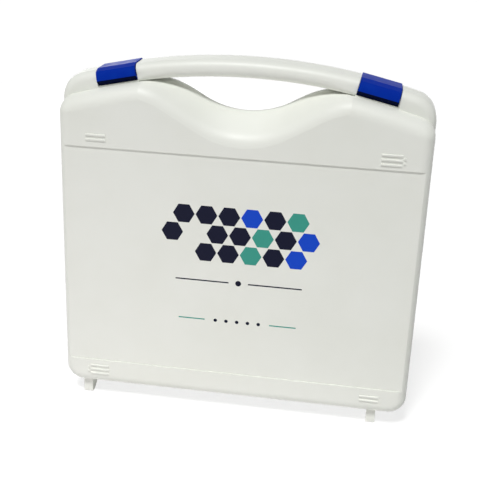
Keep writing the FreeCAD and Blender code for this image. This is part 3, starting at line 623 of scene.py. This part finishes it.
@dataclass
class PanelPrint:
    """A plain motif on the lid's sunk panel: a patch of honeycomb, and two thin lines of dashes and dots.

    All sizes are in millimetres. A print is a closed film whose face stands just proud of the panel.
    """

    middle: tuple[float, float] = (2.0, 160.0)
    face: float = -27.0
    film: float = 0.06
    cell: float = 8.8
    pitch: float = 18.4
    cells: dict[Ink, tuple[tuple[int, int], ...]] = field(default_factory=lambda: {
        Ink.NAVY: ((-3, 1), (-2, 1), (-1, 1), (1, 1), (-3, 0), (-1, 0), (0, 0), (2, 0),
                   (-2, -1), (-1, -1), (1, -1)),
        Ink.TEAL: ((2, 1), (1, 0), (0, -1)),
        Ink.BLUE: ((0, 1), (3, 0), (2, -1)),
    })
    rule_level: float = 119.0
    rule: tuple[float, float, float] = (8.0, 52.0, 1.1)
    dot: float = 2.4
    dash_level: float = 84.0
    dash: tuple[float, float, float] = (27.0, 49.0, 1.0)
    small_dot: float = 1.5
    small_dot_pitch: float = 9.0
    dot_sides: int = 24

    def build(self) -> None:
        """Prints the cells of each ink, then the lines."""
        inks = {ink: ink.value.build() for ink in Ink}
        for ink, places in self.cells.items():
            self.settle(self.print_cells(ink, places, inks[ink]), inks[ink])
        rule = self.print_marks("print_rule", self.rule_level, self.rule, self.dot, (0,))
        dashes = self.print_marks("print_dashes", self.dash_level, self.dash, 0.0, ())
        dots = self.print_marks("print_dots", self.dash_level, None, self.small_dot, (-2, -1, 0, 1, 2))
        for piece, ink in ((rule, Ink.NAVY), (dashes, Ink.TEAL), (dots, Ink.NAVY)):
            self.settle(piece, inks[ink])

    def settle(self, piece: bpy.types.Object, material: bpy.types.Material) -> None:
        """Dresses a print and lets it ride on the lid.

        Args:
            piece: the printed marks.
            material: the ink's material.
        """
        dress(piece, material)
        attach(piece, "lid")
        LOG.info("%s printed", piece.name)

    def print_cells(self, ink: Ink, places: Sequence[tuple[int, int]], material: bpy.types.Material
                    ) -> bpy.types.Object:
        """Sets one flat hexagon at each place of a honeycomb.

        Args:
            ink: the ink, whose name the piece takes.
            places: column and row of each cell.
            material: the ink's material.

        Returns:
            The printed cells, as one plain mesh.
        """
        def fill(shape: bmesh.types.BMesh) -> None:
            """Puts one point at the middle of each cell.

            Args:
                shape: the empty bmesh.
            """
            for column, row in places:
                x = self.middle[0] + self.pitch * (column + 0.5 * (row % 2))
                z = self.middle[1] + self.pitch * row * math.sin(math.radians(60))
                shape.verts.new((x * MM, self.face * MM, z * MM))

        piece = mesh_object(f"print_{ink.name.lower()}", fill)
        tool = NodeTool("print_cells", {"Radius": self.cell * MM, "Film": self.film * MM}, material)
        cell = add_node(tool.tree, "GeometryNodeMeshCylinder", {
            "Vertices": 6, "Radius": tool.given["Radius"], "Depth": tool.given["Film"]})
        placed = add_node(tool.tree, "GeometryNodeInstanceOnPoints", {
            "Points": tool.given["Geometry"], "Instance": cell.outputs[0],
            "Rotation": (math.pi / 2, 0.0, 0.0)})
        tool.finish(placed.outputs[0])
        return tool.apply(piece)

    def print_marks(self, name: str, level: float, dash: tuple[float, float, float] | None, radius: float,
                    dots: Sequence[int]) -> bpy.types.Object:
        """A line of two equal dashes, one each side of the middle, and dots between them.

        Args:
            name: the piece's name.
            level: height of the line.
            dash: where a dash starts and ends, from the middle, and its width; None for no dashes.
            radius: radius of a dot.
            dots: places of the dots, in pitches from the middle.

        Returns:
            The marks, as one closed mesh.
        """
        def fill(shape: bmesh.types.BMesh) -> None:
            """Adds both dashes, then the dots.

            Args:
                shape: the empty bmesh.
            """
            if dash:
                start, end, width = dash
                size = Matrix.Diagonal(((end - start) * MM, self.film * MM, width * MM, 1.0))
                for middle in (-(start + end) / 2, (start + end) / 2):
                    bmesh.ops.create_cube(shape, size=1.0, matrix=self.spot(middle, level) @ size)
            turn = Matrix.Rotation(math.pi / 2, 4, "X")
            for place in dots:
                spot = self.spot(place * self.small_dot_pitch, level)
                bmesh.ops.create_cone(shape, cap_ends=True, segments=self.dot_sides, radius1=radius * MM,
                                      radius2=radius * MM, depth=self.film * MM, matrix=spot @ turn)

        return mesh_object(name, fill)

    def spot(self, across: float, level: float) -> Matrix:
        """The place of a mark on the panel.

        Args:
            across: distance from the motif's middle.
            level: height above the surface that the case stands on.

        Returns:
            The mark's placement, in metres.
        """
        return Matrix.Translation(((self.middle[0] + across) * MM, self.face * MM, level * MM))


@dataclass
class Studio:
    """Floor, lamps and camera, as the photograph shows them."""

    camera_place: tuple[float, float, float] = (0.09983, -0.72606, 0.43337)
    camera_right: tuple[float, float, float] = (0.9876616, 0.1523622, 0.03619833)
    camera_down: tuple[float, float, float] = (0.08889107, -0.35513308, -0.93057986)
    camera_forward: tuple[float, float, float] = (-0.12892997, 0.9223157, -0.36429495)
    focal_px: float = 948.4
    sensor_mm: float = 36.0
    clip: tuple[float, float] = (0.05, 50.0)
    floor_half: float = 6.0
    floor_colour: str = "#e6e6e6"
    floor_lift: float = 0.4
    floor_veil: float = 0.4
    world_strength: float = 0.115
    overhead: float = 2.4
    overhead_spread: float = 12.0
    overhead_place: tuple[float, float, float] = (-0.3, -1.3, 2.6)
    front: float = 0.35
    front_size: float = 0.3
    front_place: tuple[float, float, float] = (-0.2, -0.43, -0.1)
    front_colour: tuple[float, float, float] = (1.0, 0.9, 0.92)
    rear: float = 3.5
    rear_size: float = 0.6
    rear_place: tuple[float, float, float] = (-0.5, 1.2, 0.12)
    rear_colour: tuple[float, float, float] = (1.0, 1.0, 1.0)
    aim_point: tuple[float, float, float] = (0.0, 0.0, 0.15)

    def build(self) -> None:
        """Sets the whole studio."""
        self.camera()
        self.floor()
        self.lamps()
        self.world()

    def camera(self) -> None:
        """The camera, placed and turned by the fit to the photograph."""
        data = bpy.data.cameras.new("camera")
        data.sensor_width = self.sensor_mm
        data.lens = self.sensor_mm * self.focal_px / PHOTO_PX
        data.clip_start, data.clip_end = self.clip
        camera = bpy.data.objects.new("camera", data)
        bpy.context.scene.collection.objects.link(camera)
        right = Vector(self.camera_right)
        up = -Vector(self.camera_down)
        back = -Vector(self.camera_forward)
        turn = Matrix((right, up, back)).transposed().to_4x4()
        camera.matrix_world = Matrix.Translation(Vector(self.camera_place)) @ turn
        bpy.context.scene.camera = camera

    def floor(self) -> None:
        """A wide pale floor that takes the shadow.

        It veils what lies below it, such as the opened lid of the standing case, instead of hiding it.
        """
        def fill(shape: bmesh.types.BMesh) -> None:
            """Lays one square."""
            bmesh.ops.create_grid(shape, x_segments=1, y_segments=1, size=self.floor_half)

        floor = mesh_object("floor", fill)
        material = bpy.data.materials.new("floor_paper")
        material.use_nodes = True
        tree = material.node_tree
        tree.nodes.clear()
        paper = add_node(tree, "ShaderNodeBsdfDiffuse", {"Color": srgb(self.floor_colour)}).outputs[0]
        lift = add_node(tree, "ShaderNodeEmission", {"Strength": self.floor_lift}).outputs[0]
        lit = add_node(tree, "ShaderNodeAddShader", {0: paper, 1: lift}).outputs[0]
        clear = add_node(tree, "ShaderNodeBsdfTransparent").outputs[0]
        veiled = add_node(tree, "ShaderNodeMixShader", {0: self.floor_veil, 1: clear, 2: lit}).outputs[0]
        shown = add_node(tree, "ShaderNodeMixShader", {0: self.seen(tree), 1: paper, 2: veiled}).outputs[0]
        add_node(tree, "ShaderNodeOutputMaterial", {0: shown})
        dress(floor, material)
        floor.visible_shadow = False

    def lamps(self) -> None:
        """A soft lamp high in front, a weak, warm one close and low, and one for the unseen back."""
        overhead = bpy.data.lights.new("overhead", "SUN")
        overhead.energy = self.overhead
        overhead.angle = math.radians(self.overhead_spread)
        self.aim(overhead, Vector(self.overhead_place))
        panels = (("front", self.front, self.front_size, self.front_place, self.front_colour),
                  ("rear", self.rear, self.rear_size, self.rear_place, self.rear_colour))
        for name, power, side, place, colour in panels:
            panel = bpy.data.lights.new(name, "AREA")
            panel.energy = power
            panel.size = side
            panel.color = colour
            self.aim(panel, Vector(place))

    def aim(self, data: bpy.types.Light, place: Vector) -> None:
        """Places a lamp so that it looks at the case's middle.

        Args:
            data: the lamp.
            place: where it hangs, in metres.
        """
        lamp = bpy.data.objects.new(data.name, data)
        bpy.context.scene.collection.objects.link(lamp)
        turn = (Vector(self.aim_point) - place).to_track_quat("-Z", "Y").to_matrix().to_4x4()
        lamp.matrix_world = Matrix.Translation(place) @ turn

    def seen(self, tree: Tree) -> Socket:
        """Tells the rays that see the surround from those that only light the case.

        Args:
            tree: the tree that gets the nodes.

        Returns:
            A socket that is one for rays from the camera, reflections and transmission, and else nought.
        """
        path = add_node(tree, "ShaderNodeLightPath").outputs
        direct = add_node(tree, "ShaderNodeMath", {
            "operation": "MAXIMUM", 0: path["Is Camera Ray"], 1: path["Is Glossy Ray"]})
        return add_node(tree, "ShaderNodeMath", {
            "operation": "MAXIMUM", 0: direct.outputs[0], 1: path["Is Transmission Ray"]}).outputs[0]

    def world(self) -> None:
        """A white surround, full strength only for the camera and for reflections."""
        world = bpy.data.worlds.new("surround")
        bpy.context.scene.world = world
        world.use_nodes = True
        tree = world.node_tree
        tree.nodes.clear()
        level = add_node(tree, "ShaderNodeMapRange", {
            "To Min": self.world_strength, "To Max": 1.0, "Value": self.seen(tree)})
        light = add_node(tree, "ShaderNodeBackground", {
            "Color": srgb("#ffffff"), "Strength": level.outputs["Result"]})
        add_node(tree, "ShaderNodeOutputWorld", {0: light.outputs[0]})


def main() -> None:
    """Builds every piece in order."""
    logging.basicConfig(level=logging.INFO, format="%(name)s: %(message)s")
    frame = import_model()
    bpy.context.scene.view_settings.view_transform = "Standard"
    nodes = frame["nodes"]
    Hardware(nodes).build()
    foam = DARK_FOAM.build()
    CrestedInsert(nodes, "lid_foam", "lid", material=foam).build()
    FoamInsert(nodes, "pocket_foam", "base", material=foam).build()
    FoamInsert(nodes, "floor_foam", "base", voxel_mm=1.6, rounds=1, material=foam).build()
    PanelPrint().build()
    Studio().build()


if __name__ == "__main__":
    main()
